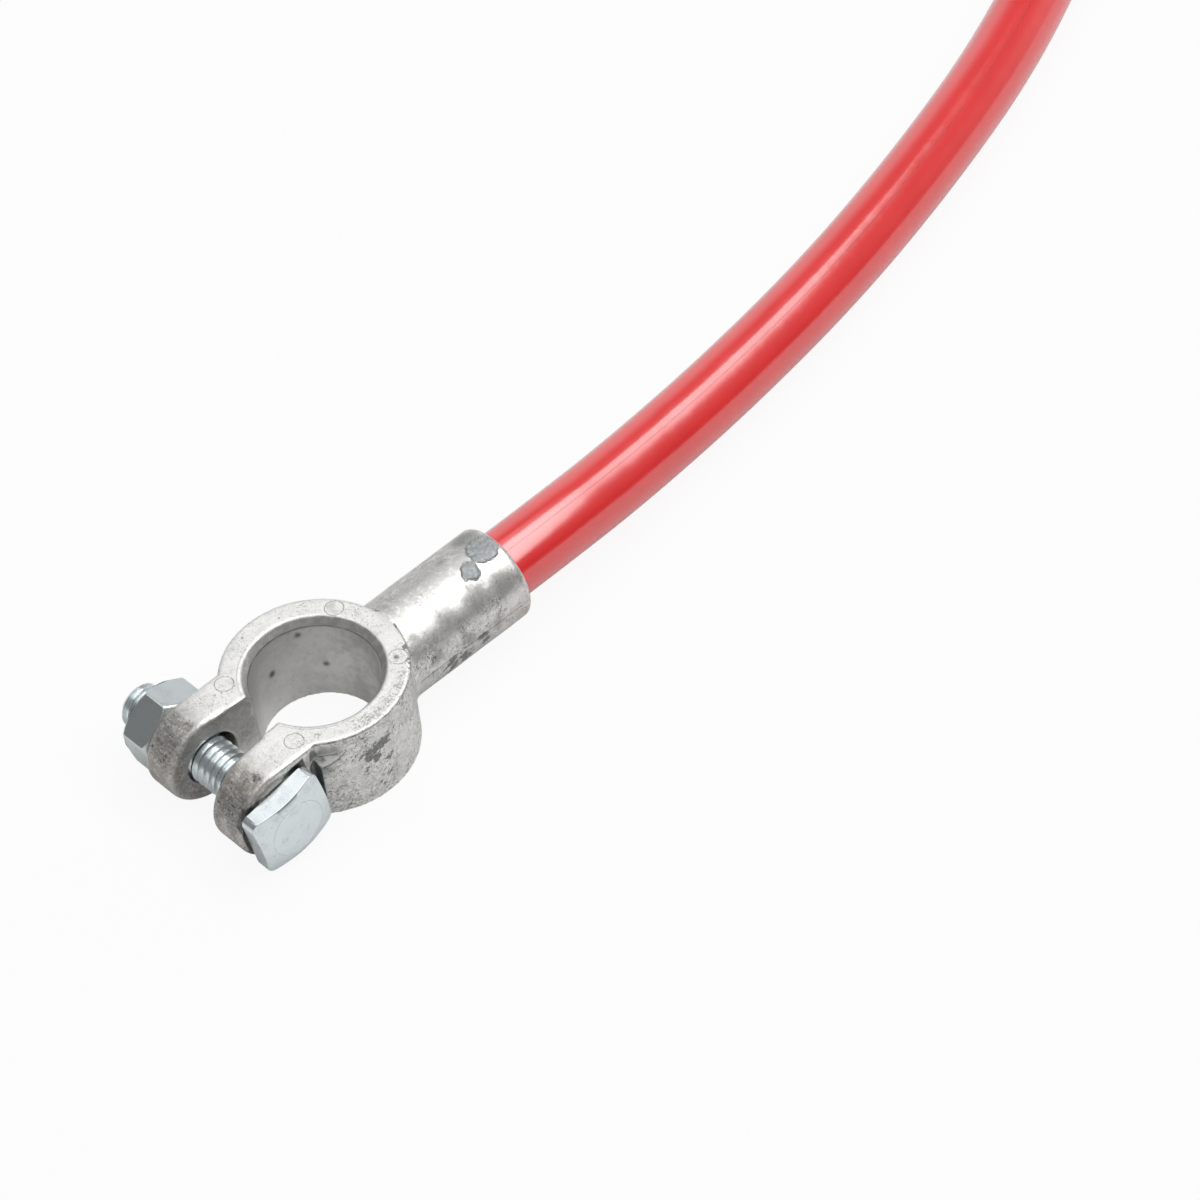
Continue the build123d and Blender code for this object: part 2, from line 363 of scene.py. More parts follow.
@dataclass(frozen=True)
class CastAlloy:
    """As-cast soft grey alloy with oxide, mould marks, filed ear ends and a machined bore mouth."""

    # Tones.
    # The next tone also paints light on the top faces and paints highlights on crests and on the relief's face.
    light: Colour = (0.985, 0.98, 0.955)
    wall: Colour = (0.84, 0.825, 0.805)
    # The next tone is also painted shade on the barrel's crown and lower flank.
    dull_and_shade: Colour = (0.60, 0.585, 0.565)
    smoke: Colour = (0.32, 0.32, 0.305)
    oxide: Colour = (0.17, 0.175, 0.175)
    gate: Colour = (0.43, 0.46, 0.475)
    scuffed: Colour = (0.42, 0.42, 0.41)
    brown: Colour = (0.42, 0.385, 0.35)
    # The next tone is grime, and also painted shade in the hollows and painted shadow round the bolt head.
    grime_and_shade: Colour = (0.09, 0.088, 0.085)
    shade: Colour = (0.13, 0.14, 0.145)
    cut_bright: Colour = (0.86, 0.84, 0.81)
    cut_dark: Colour = (0.30, 0.28, 0.26)
    marble_light: Colour = (0.76, 0.755, 0.74)
    # The next tone is also painted shade on the bore's left side.
    marble_dark_and_shade: Colour = (0.56, 0.555, 0.54)
    # Painted shade in the slot between the ears.
    slot_shade: Colour = (0.50, 0.485, 0.465)
    # Painted shade in the recess under the lip and on the ear's side beside it.
    recess_shade: Colour = (0.34, 0.335, 0.32)

    # The casting's own sizes in millimetres, and where each surface fades in.
    top_z: float = 16.2
    ring_r: float = 14.75
    mouth_r: float = 11.22
    mouth_z: float = 14.85
    bore_r: float = 10.32
    bore_edge_r: float = 10.22
    spot_face_r: float = 11.75
    ear_x: Span = (-15.5, -20.5)
    flank_z: Span = (10.5, 8.0)
    flank_x: Span = (12.0, 14.0)
    crown_z: Span = (12.0, 14.5)
    crown_x: Span = (13.0, 16.0)
    slot_half: Span = (3.35, 3.2)
    slot_x: Span = (-9.0, -10.5)
    slot_splay: float = 0.052
    low_slot_z: Span = (8.5, 4.0)

    # The bolt head's seat and the relief beside it.
    head_centre: tuple[float, float] = (-18.3, 7.65)
    head_half: tuple[float, float] = (6.65, 6.25)
    head_turn: float = 10.0
    # Reach of the painted shadow round the bolt head.
    head_shadow_reach: Span = (0.55, 0.25)
    seat_y: Span = (-10.2, -10.6)
    relief_facing: Point = (-0.693, -0.604, 0.395)
    relief_reach: float = 17.66
    relief_x: Band = (-10.5, 1.06, 0.06)
    relief_y: Band = (-11.1, 1.5, 0.2)
    # Where the painted highlight on the relief's slanted face lies.
    face_x: Band = (-7.9, 2.5, 0.1)
    face_z: Band = (11.6, 1.7, 0.1)

    # Mould lines, as centre, half width and soft edge.
    rim_seam: Band = (16.0, 0.06, 0.12)
    rim_seam_x: Span = (-12.0, -9.0)
    barrel_seam: Band = (8.3, 0.02, 0.09)
    barrel_seam_x: Span = (12.5, 14.0)
    barrel_side_y: Span = (7.4, 7.7)

    # Marks, each a centre and a radius in millimetres.
    pin_marks: tuple[Point, ...] = ((10.65, 7.14, 16.2), (10.66, -7.45, 16.2), (-11.12, 8.08, 16.2),
                                    (-11.47, -8.3, 16.2))
    pin_mark_r: float = 1.50
    gate_scars: Spots = (((34.4, -0.6, 16.1), 2.5), ((30.2, -2.5, 15.8), 1.5))
    oxide_spots: Spots = (
        ((-2.6, -14.5, 10.3), 1.5), ((-1.2, -14.7, 10.7), 2.1), ((0.5, -14.8, 11.2), 1.5), ((-1.2, -14.7, 9.2), 1.2),
        ((0.7, -14.9, 7.4), 0.8), ((13.2, -6.9, 15.9), 1.2), ((11.2, -9.8, 16.0), 1.0), ((20.0, -7.7, 6.6), 1.8),
        ((23.5, -7.8, 6.4), 1.8), ((27.5, -7.9, 7.0), 1.6), ((17.2, -6.6, 9.6), 1.2), ((-20.5, -9.0, 15.0), 1.2))
    top_spots: Spots = (
        ((-0.6, -13.1, 16.2), 0.9), ((1.6, -13.1, 16.2), 1.1), ((4.0, -12.7, 16.2), 1.2), ((6.6, -11.9, 16.2), 1.2),
        ((8.9, -10.5, 16.2), 0.9), ((-8.4, -10.2, 16.2), 0.8), ((-3.4, -13.7, 16.2), 0.6), ((-1.6, -14.0, 16.2), 0.7),
        ((0.6, -14.1, 16.2), 0.7), ((3.0, -13.8, 16.2), 0.7), ((5.4, -13.1, 16.2), 0.7), ((7.8, -12.0, 16.2), 0.7))
    # Smoke stains; the two spots beside the relief at the bolt head are painted shade.
    smoke_and_shade_spots: Spots = (
        ((14.9, -5.9, 12.0), 1.3), ((15.6, -4.8, 14.0), 0.9), ((22.0, -5.6, 14.0), 2.2), ((28.0, -5.6, 14.0), 2.8),
        ((33.0, -6.0, 13.0), 2.6), ((34.0, 3.4, 15.0), 2.4), ((-8.6, -12.2, 13.0), 2.2), ((-9.0, -12.0, 10.0), 1.2),
        ((18.0, -7.4, 10.0), 1.6), ((24.0, -7.6, 9.0), 1.6), ((30.0, -7.8, 8.6), 1.8))
    # Painted shade: the recess under the ring's lip beside the bolt head, and the ear's side next to it.
    recess_shade_spots: Spots = (
        ((-10.6, -10.9, 14.2), 1.2), ((-9.2, -12.0, 14.2), 1.1), ((-7.9, -13.1, 14.3), 0.9), ((-6.8, -13.9, 14.6), 0.5),
        ((-12.0, -11.3, 13.4), 0.9), ((-11.8, -11.3, 11.8), 0.6))
    bore_spots: Spots = (((-0.9, 9.9, 8.45), 0.6), ((7.25, 6.7, 6.6), 0.45), ((10.36, -7.28, 16.2), 0.3),
                         ((4.4, 8.9, 13.6), 0.5))

    def make(self) -> bpy.types.Material:
        """Build the material: the cast skin, then wear with painted highlight on the crests, pits, marks, the machined
        bore and the relief's painted light and shade.

        Returns:
            The finished material.
        """
        skin = CastSkin(self)
        mottle = skin.mottle
        # Smoke stains, and painted shade at the spots beside the relief.
        smoke = (skin.near(self.smoke_and_shade_spots, 1.8) * 0.55 + skin.cloud * 0.55 + mottle * 0.3).ease(0.60, 1.05)
        filed = self._filed(skin) * skin.ear_end
        tone = self._cast_tone(skin, smoke)
        tone = self._worked_tone(skin, tone, filed)

        pits, stain = self._pits(skin), self._stain(skin)
        dark = (pits * 0.95).most(stain)
        tone = skin.blend(dark, tone, self.oxide)
        scar, crust, scar_height = self._scars(skin)
        tone = skin.blend(scar * 0.9, tone, self.gate)
        tone = skin.blend(crust * 0.8, tone, self.grime_and_shade)
        rings, ring_height = self._pin_rings(skin)
        first_pin = skin.distance_to(self.pin_marks[0]).ease(self.pin_mark_r, self.pin_mark_r - 0.2)
        tone = skin.blend(first_pin * mottle.ease(0.3, 0.6) * 0.7, tone, self.dull_and_shade)
        seam, grime_and_shade_in_hollows = self._seam(skin), self._crevice_grime_and_shade(skin)
        # Pin rings, mould lines, and grime with painted shade in the hollows.
        tone = skin.blend((rings * 0.7).most(seam * 0.75).most(grime_and_shade_in_hollows * 0.8), tone, self.grime_and_shade)
        chatter = self._chatter(skin)
        tone = self._bored_tone(skin, tone, chatter)
        # Painted shade in the recess under the lip and on the ear's side beside it.
        tone = skin.blend(skin.near(self.recess_shade_spots, 0.7) * 0.85, tone, self.recess_shade)
        # Painted shadow round the bolt head's edge, with grime.
        tone = skin.blend(self._head_shadow_and_grime(skin) * (0.6 + 0.4 * mottle.ease(0.3, 0.5)), tone, self.grime_and_shade)
        relief, face, lip = self._relief(skin)
        # Painted highlight on the relief's slanted face.
        tone = skin.blend(face * mottle.ease(0.65, 0.45) * 0.9, tone, self.light)
        # Painted shade on the relief's walls, and painted shadow line under its face.
        tone = skin.blend((relief * 0.85).most(lip * 0.7), tone, self.shade)
        # Wear, and painted highlight along the crests.
        wear_and_edge_glint = skin.hollow.ease(0.42, 0.22) * mottle.ease(0.40, 0.58) * (1.0 - skin.machined)
        tone = skin.blend(wear_and_edge_glint * 0.3, tone, self.light)

        rough = (0.30 + 0.10 * mottle + 0.12 * skin.top + 0.25 * dark.most(scar) + 0.12 * skin.ear_end
                 + 0.12 * skin.bore + 0.15 * smoke - 0.06 * wear_and_edge_glint)
        strokes = self._strokes(skin) * (1.0 - skin.machined) * (0.3 + 0.7 * skin.top)
        surface = skin.bump(mottle * 0.6 + skin.salt * 0.35 + skin.grain * 0.22, 0.13, 0.4)
        surface = skin.bump(1.0 - pits * 0.7 - stain * 0.3 - seam * 0.8, 0.07, 0.6, surface)
        surface = skin.bump(1.0 - skin.mouth * chatter, 0.03, 0.7, surface)
        surface = skin.bump(ring_height, 0.10, 0.9, surface)
        surface = skin.bump(scar_height, 0.45, 0.8, surface)
        surface = skin.bump(strokes + filed, 0.03, 0.7, surface)
        # Less metallic where the relief's face bears its painted highlight.
        metal = 0.88 - 0.4 * dark.most(grime_and_shade_in_hollows) - 0.6 * face
        skin.set(Base_Color=tone, Metallic=metal, Roughness=rough, Normal=surface)
        return skin.material

    def _cast_tone(self, skin: CastSkin, smoke: Value) -> Value:
        """Colour of the skin: its own tones, with painted light on the top faces and painted shade on the barrel's
        crown and lower flank.

        Args:
            skin: The finish under construction.
            smoke: Where the skin has darkened with smoke stains and painted shade, 0 to 1.

        Returns:
            The colour.
        """
        top, crown, cloud, mottle, fleck = skin.top, skin.crown, skin.cloud, skin.mottle, skin.fleck
        # Painted light: the top faces paler than the walls.
        tone = skin.blend(top * 0.85, self.wall, self.light)
        # Painted shade: the barrel's crown darker, to hold down its highlight.
        tone = skin.blend(crown * 0.75, tone, self.dull_and_shade)
        dulled = (cloud.ease(0.45, 0.72) * 0.45 + mottle.ease(0.44, 0.70) * 0.55) * (1.0 - crown * 0.6)
        tone = skin.blend(dulled * (0.85 - 0.66 * top), tone, self.dull_and_shade)
        salted = 0.52 - 0.26 * top - 0.25 * crown + 0.2 * skin.flank
        tone = skin.blend(skin.salt.ease(0.46, 0.70) * fleck * salted, tone, self.smoke)
        tone = skin.blend(skin.pepper.ease(0.54, 0.74) * fleck * (0.42 - 0.18 * crown), tone, self.smoke)
        patched = skin.patches.ease(0.50, 0.63) * (0.25 + 0.75 * skin.zone)
        tone = skin.blend(patched * (0.42 - 0.25 * top), tone, self.smoke)
        tone = skin.blend(skin.pepper.ease(0.44, 0.32).most(skin.patches.ease(0.46, 0.36)) * 0.6, tone, self.light)
        # Painted shade: the barrel's lower flank darker, mottled.
        tone = skin.blend(skin.flank * (0.25 + 0.5 * cloud.ease(0.4, 0.6)), tone, self.dull_and_shade)
        # Smoke stains, with painted shade beside the relief.
        tone = skin.blend(smoke * 0.7, tone, self.smoke)
        scuff = skin.near(self.top_spots, 1.0) * 0.24 + skin.noise(0.42, 4.0, 0.65, seed=18.0)
        return skin.blend(scuff.ease(0.64, 0.80) * skin.z.ease(15.4, 15.8) * 0.75, tone, self.scuffed)

    def _worked_tone(self, skin: CastSkin, tone: Value, filed: Value) -> Value:
        """Colour once the ear ends have been filed, with painted shade in the slot between the ears, lighter low down.

        Args:
            skin: The finish under construction.
            tone: The colour so far.
            filed: File lines, 0 to 1.

        Returns:
            The colour.
        """
        ear_end, mottle = skin.ear_end, skin.mottle
        tone = skin.blend(ear_end * (0.45 + 0.5 * mottle.ease(0.36, 0.56)), tone, self.brown)
        tone = skin.blend(ear_end * skin.cloud.ease(0.48, 0.60) * 0.6, tone, self.smoke)
        tone = skin.blend(ear_end * skin.salt.ease(0.46, 0.36) * 0.45, tone, self.light)
        tone = skin.blend(filed * 0.30, tone, self.light)
        # Painted shade in the slot between the ears, less of it low down.
        slot = skin.slot_wall * (0.55 + 0.4 * mottle.ease(0.35, 0.6)) * (1.0 - 0.6 * skin.z.ease(*self.low_slot_z))
        return skin.blend(slot, tone, self.slot_shade)

    def _bored_tone(self, skin: CastSkin, tone: Value, chatter: Value) -> Value:
        """Colour with the machined mouth, the marbled bore with painted light on its back wall and painted shade on its
        left side, and the dark lines at their edges.

        Args:
            skin: The finish under construction.
            tone: The colour so far.
            chatter: Tool marks, 0 to 1.

        Returns:
            The colour.
        """
        cut = skin.blend(chatter * 0.72, self.cut_bright, self.cut_dark)
        tone = skin.blend(skin.mouth * 0.9, tone, cut)
        # Marbling, thinned on the bore's back wall as painted light.
        marble_and_shading = (skin.cloud * 0.6 + skin.mottle * 0.4).ease(0.40, 0.62) * (0.9 - 0.5 * skin.y.ease(5.0, 9.0))
        # Painted shade on the bore's left side.
        marble_and_shading = marble_and_shading.most(skin.x.ease(-2.5, -8.0) * 0.95) + skin.patches.ease(0.56, 0.68) * 0.4
        tone = skin.blend(skin.bore * 0.9, tone, skin.blend(marble_and_shading, self.marble_light, self.marble_dark_and_shade))
        spots = skin.near(self.bore_spots, 0.4) * skin.mottle.ease(0.25, 0.45)
        return skin.blend((spots * 0.85).most(self._cut_edges(skin) * 0.65), tone, self.grime_and_shade)

    @staticmethod
    def _crevice_grime_and_shade(skin: CastSkin) -> Value:
        """Grime and painted shade in the hollows, little of it on the barrel, 0 to 1."""
        deep = skin.hollow.ease(0.56, 0.85) * (0.5 + 0.5 * skin.mottle.ease(0.35, 0.6)) * (1.0 - skin.machined)
        return deep * (1.0 - 0.75 * skin.x.ease(8.0, 11.0))

    @staticmethod
    def _chatter(skin: CastSkin) -> Value:
        """Slanting tool marks round the machined mouth.

        Args:
            skin: The finish under construction.

        Returns:
            A value from 0 to 1.
        """
        angle = skin.node("ShaderNodeMath", {"operation": "ARCTAN2"}, {0: skin.y, 1: skin.x})
        wander = skin.noise(2.5, 2.0)
        faded = skin.noise(1.6, 2.0, seed=3.0).ease(0.3, 0.6)
        torn = skin.noise(0.35, 2.0, seed=20.0)
        slant = (angle * 230.0 + skin.z * 16.0 + wander * 14.0 + torn * 2.5).sine() * 0.5 + 0.5
        rings = (skin.z * 30.0 + wander * 9.0 + torn * 3.0).sine() * 0.5 + 0.5
        return (slant * 0.65 + rings * 0.35) * faded

    def _cut_edges(self, skin: CastSkin) -> Value:
        """Thin dark lines where the mouth's cut meets the bore and the top.

        Args:
            skin: The finish under construction.

        Returns:
            A value from 0 to 1.
        """
        broken = skin.noise(1.8, 3.0, 0.6, seed=19.0).ease(0.36, 0.56)
        inner = (skin.z.band(self.mouth_z, 0.05, 0.08)
                 * skin.radius.ease(self.bore_edge_r + 0.35, self.bore_edge_r + 0.2) * (0.4 + 0.6 * broken))
        outer = (skin.radius.band(self.spot_face_r, 0.02, 0.07) * skin.z.ease(16.0, 16.1) * skin.x.ease(-1.0, -4.0)
                 * broken * 0.6)
        return inner.most(outer)

    def _head_shadow_and_grime(self, skin: CastSkin) -> Value:
        """Painted shadow of the bolt head on the ear round its edge, with grime.

        Args:
            skin: The finish under construction.

        Returns:
            A value from 0 to 1.
        """
        turn = math.radians(self.head_turn)
        off_x, off_z = skin.x - self.head_centre[0], skin.z - self.head_centre[1]
        across = off_x * math.cos(turn) + off_z * math.sin(turn)
        along = off_z * math.cos(turn) - off_x * math.sin(turn)
        outside = (across.absolute() - self.head_half[0]).most(along.absolute() - self.head_half[1])
        return outside.ease(*self.head_shadow_reach) * skin.y.ease(*self.seat_y)

    def _relief(self, skin: CastSkin) -> tuple[Value, Value, Value]:
        """Painted light and shade on the relief beside the bolt head.

        Args:
            skin: The finish under construction.

        Returns:
            Its shaded walls, the painted highlight on its slanted face and the painted shadow line under that face,
            each 0 to 1.
        """
        reach = skin.vector("DOT_PRODUCT", "Value", a=skin.place, b=self.relief_facing) - self.relief_reach
        walls = reach.ease(-0.02, -0.2) * skin.x.band(*self.relief_x) * skin.y.band(*self.relief_y)
        near = skin.x.band(*self.face_x) * skin.z.band(*self.face_z)
        # Painted highlight on the slanted face.
        face = reach.band(0.0, 0.05, 0.07) * near * skin.radius.ease(14.86, 14.78)
        # Painted shadow line under the slanted face.
        lip = reach.band(-0.10, 0.035, 0.05) * near * skin.radius.ease(14.55, 14.65) * skin.x.ease(-9.5, -9.3)
        return walls, face, lip

    def _pin_rings(self, skin: CastSkin) -> tuple[Value, Value]:
        """Ejector pin marks.

        Args:
            skin: The finish under construction.

        Returns:
            Their thin dark rings, and their height, each 0 to 1.
        """
        gaps = [skin.distance_to(centre) for centre in self.pin_marks]
        line = most_of(gap.band(self.pin_mark_r, 0.02, 0.07) for gap in gaps)
        dish = most_of(gap.ease(self.pin_mark_r, self.pin_mark_r - 0.08) for gap in gaps)
        return line * skin.noise(0.9, 2.0, seed=4.0).ease(0.28, 0.52), 1.0 - dish * 0.35 - line * 0.6

    def _scars(self, skin: CastSkin) -> tuple[Value, Value, Value]:
        """Broken casting gates on the barrel.

        Args:
            skin: The finish under construction.

        Returns:
            The torn metal, its dark crust and its height, each 0 to 1.
        """
        wander = skin.noise(1.3, 3.0, 0.55, seed=5.0)
        torn = skin.noise(0.6, 4.0, 0.65, seed=6.0)
        gaps = [(skin.distance_to(centre) + wander * 1.4 - 0.7, size) for centre, size in self.gate_scars]
        mask = most_of(gap.ease(size + 0.32, size - 0.30) for gap, size in gaps)
        rim = most_of(gap.band(size - 0.15, 0.05, 0.35) for gap, size in gaps)
        metal = mask * (1.0 - torn.ease(0.47, 0.62) * 0.45)
        crust = rim * torn.ease(0.50, 0.36) * 0.4 + mask * torn.ease(0.42, 0.33) * 0.35
        return metal, crust, mask * (0.25 + torn * 0.75) + rim * 0.15

    @staticmethod
    def _pits(skin: CastSkin) -> Value:
        """Short dark pits and dashes, thick in places and rare on the flats.

        Args:
            skin: The finish under construction.

        Returns:
            A value from 0 to 1.
        """
        dashes = skin.noise(0.50, 2.0, 0.55, at=skin.stretched((1.0, 1.0, 1.9), (0.0, 35.0, 0.0)), seed=7.0)
        dust = skin.noise(0.22, 2.0, 0.5, seed=8.0)
        where = skin.noise(3.4, 3.0, 0.6, seed=9.0)
        long_pits = (dashes + where * 0.34).ease(0.75, 0.83) * (1.0 - skin.top * 0.75)
        pits = long_pits.most((dust + where * 0.25).ease(0.74, 0.81) * 0.8)
        return pits * skin.fleck * (1.0 - skin.machined) * (1.0 - skin.crown * 0.7)

    def _stain(self, skin: CastSkin) -> Value:
        """Dull oxide patches with torn edges.

        Args:
            skin: The finish under construction.

        Returns:
            A value from 0 to 1.
        """
        patch = skin.noise(1.4, 5.0, 0.66, at=skin.stretched((1.0, 1.0, 1.4), (0.0, 25.0, 0.0)), seed=10.0)
        close = skin.near(self.oxide_spots, 1.2)
        ragged = skin.noise(0.45, 3.0, 0.6, seed=22.0)
        return (patch + close * 0.26 + ragged * 0.10 - 0.05).ease(0.64, 0.735) * (0.62 + 0.5 * ragged)

    def _seam(self, skin: CastSkin) -> Value:
        """Mould lines: under the ring's upper rim and along the barrel's side.

        Args:
            skin: The finish under construction.

        Returns:
            A value from 0 to 1.
        """
        wander = skin.noise(2.0, 2.0, seed=11.0)
        broken = skin.noise(1.2, 2.0, seed=12.0).ease(0.32, 0.48)
        rim = (skin.z + wander * 0.2).band(*self.rim_seam) * skin.radius.ease(self.ring_r - 0.4, self.ring_r - 0.2)
        rim = rim * skin.x.ease(*self.rim_seam_x) * skin.radius.ease(self.ring_r + 0.5, self.ring_r + 0.3)
        barrel = ((skin.z + wander * 0.25).band(*self.barrel_seam) * skin.x.ease(*self.barrel_seam_x)
                  * skin.y.absolute().ease(*self.barrel_side_y))
        return (rim + barrel).least(1.0) * broken

    @staticmethod
    def _strokes(skin: CastSkin) -> Value:
        """Fine scratches across the casting's flats, 0 to 1."""
        fine = skin.noise(1.0, 3.0, 0.7, at=skin.stretched((0.35, 5.0, 5.0), (0.0, 0.0, 25.0)), seed=13.0)
        return fine.ease(0.5, 0.75)

    @staticmethod
    def _filed(skin: CastSkin) -> Value:
        """File lines across the ear ends, 0 to 1."""
        lines = skin.noise(1.0, 3.0, 0.65, at=skin.stretched((5.5, 0.30, 5.5), (0.0, 0.0, 6.0)), seed=15.0)
        return lines.ease(0.50, 0.66)


@dataclass(frozen=True)
class ZincPlate:
    """Bright bluish zinc plate on steel."""

    name: str = "zinc_plate"
    tone: Colour = (0.70, 0.765, 0.775)
    smut: Colour = (0.42, 0.46, 0.47)
    scratch: Colour = (0.25, 0.27, 0.27)
    rough: float = 0.20
    scratched: float = 0.4
    face_centre: Point | None = None      # middle of a crown that bears a pressed ring
    face_r: float = 4.85
    hair_turns: tuple[Point, Point] = ((0.0, 35.0, 0.0), (0.0, -50.0, 10.0))

    def make(self) -> bpy.types.Material:
        """Build the material.

        Returns:
            The finished material.
        """
        paint = Paint(self.name)
        cloud = paint.noise(3.0, 4.0, 0.6)
        fine = paint.noise(0.30, 3.0, 0.6, seed=1.0)
        spots = paint.noise(0.38, 2.0, 0.5, seed=2.0).ease(0.70, 0.74)
        tone = paint.blend(cloud.ease(0.45, 0.8) * 0.35 + spots * 0.6, self.tone, self.smut)
        hairs = most_of(self._hairlines(paint, turn, seed) for turn, seed in zip(self.hair_turns, (5.0, 9.0)))
        tone = paint.blend(hairs * self.scratched, tone, self.scratch)
        surface = paint.bump(1.0 - hairs, 0.01, self.scratched)
        surface = paint.bump(fine, 0.02, 0.3, surface)
        if self.face_centre is not None:
            ring = paint.distance_to(self.face_centre).band(self.face_r, 0.03, 0.10)
            ring = ring * paint.noise(1.5, 2.0, seed=4.0).ease(0.3, 0.55)
            tone = paint.blend(ring * 0.4, tone, self.smut)
            surface = paint.bump(1.0 - ring, 0.03, 0.5, surface)
        paint.set(Base_Color=tone, Metallic=0.95, Roughness=self.rough + 0.12 * cloud + 0.1 * spots, Normal=surface)
        return paint.material

    @staticmethod
    def _hairlines(paint: Paint, turn: Point, seed: float) -> Value:
        """Broken hairline scratches, drawn where a slow noise crosses its middle.

        Args:
            paint: The finish under construction.
            turn: The lines' lean, in degrees about each axis.
            seed: Seed of their noise.

        Returns:
            A value from 0 to 1.
        """
        slow = paint.noise(6.0, 1.0, 0.3, at=paint.stretched((0.35, 1.0, 2.6), turn), seed=seed)
        kept = paint.noise(1.5, 2.0, 0.5, seed=seed + 1.0).ease(0.48, 0.62)
        return slow.band(0.5, 0.001, 0.0025) * kept


@dataclass(frozen=True)
class RedJacket:
    """Glossy soft red cable jacket with its moulding seam."""

    tone: Colour = (0.90, 0.026, 0.026)
    deep: Colour = (0.80, 0.016, 0.018)
    seam_tone: Colour = (0.42, 0.012, 0.014)
    rough: float = 0.18
    coat: float = 0.9
    seam_at: float = 0.272                # share of the way round the tube
    seam_half: float = 0.0008
    seam_soft: float = 0.0018

    def make(self) -> bpy.types.Material:
        """Build the material.

        Returns:
            The finished material.
        """
        paint = Paint("red_jacket")
        cloud = paint.noise(9.0, 2.0)
        fine = paint.noise(0.45, 3.0, 0.6, seed=1.0)
        wave = paint.noise(7.0, 2.0, 0.5, seed=2.0)
        tone = paint.blend(cloud.ease(0.3, 0.8) * 0.5, self.tone, self.deep)
        _, around, _ = paint.split(paint.node("ShaderNodeUVMap", {"uv_map": "UVMap"}, {}, "UV"))
        seam = around.band(self.seam_at, self.seam_half, self.seam_soft)
        seam = seam * paint.noise(6.0, 3.0, seed=3.0).ease(0.28, 0.42)
        tone = paint.blend(seam * 0.75, tone, self.seam_tone)
        surface = paint.bump(wave, 0.5, 0.30)
        surface = paint.bump(1.0 - seam, 0.05, 0.6, surface)
        surface = paint.bump(fine, 0.015, 0.3, surface)
        paint.set(Base_Color=tone, Roughness=self.rough + 0.08 * fine, Normal=surface)
        paint.set(IOR=1.5, Specular_IOR_Level=0.9, Coat_Weight=self.coat, Coat_IOR=1.75, Coat_Roughness=0.15)
        return paint.material


@dataclass(frozen=True)
class SoftMetal:
    """Plain copper or tin with light tarnish."""

    name: str
    tone: Colour
    tarnish: Colour
    rough: float

    def make(self) -> bpy.types.Material:
        """Build the material.

        Returns:
            The finished material.
        """
        paint = Paint(self.name)
        cloud = paint.noise(2.5, 4.0, 0.6)
        fine = paint.noise(0.3, 3.0, 0.6, seed=1.0)
        tone = paint.blend(cloud.ease(0.4, 0.75) * 0.6, self.tone, self.tarnish)
        paint.set(Base_Color=tone, Metallic=0.95, Roughness=self.rough + 0.15 * cloud,
                  Normal=paint.bump(fine, 0.02, 0.4))
        return paint.material


# ---------------------------------------------------------------------------
# Mesh helpers
# ---------------------------------------------------------------------------


def dress(piece: bpy.types.Object, material: bpy.types.Material) -> None:
    """Give an object one material in place of all its own."""
    piece.data.materials.clear()
    piece.data.materials.append(material)


def even_normals(piece: bpy.types.Object) -> None:
    """Shade a piece's large flat faces flat and its eased edges round."""
    even = piece.modifiers.new("even_normals", "WEIGHTED_NORMAL")
    even.mode, even.weight, even.keep_sharp = "FACE_AREA", 50, True


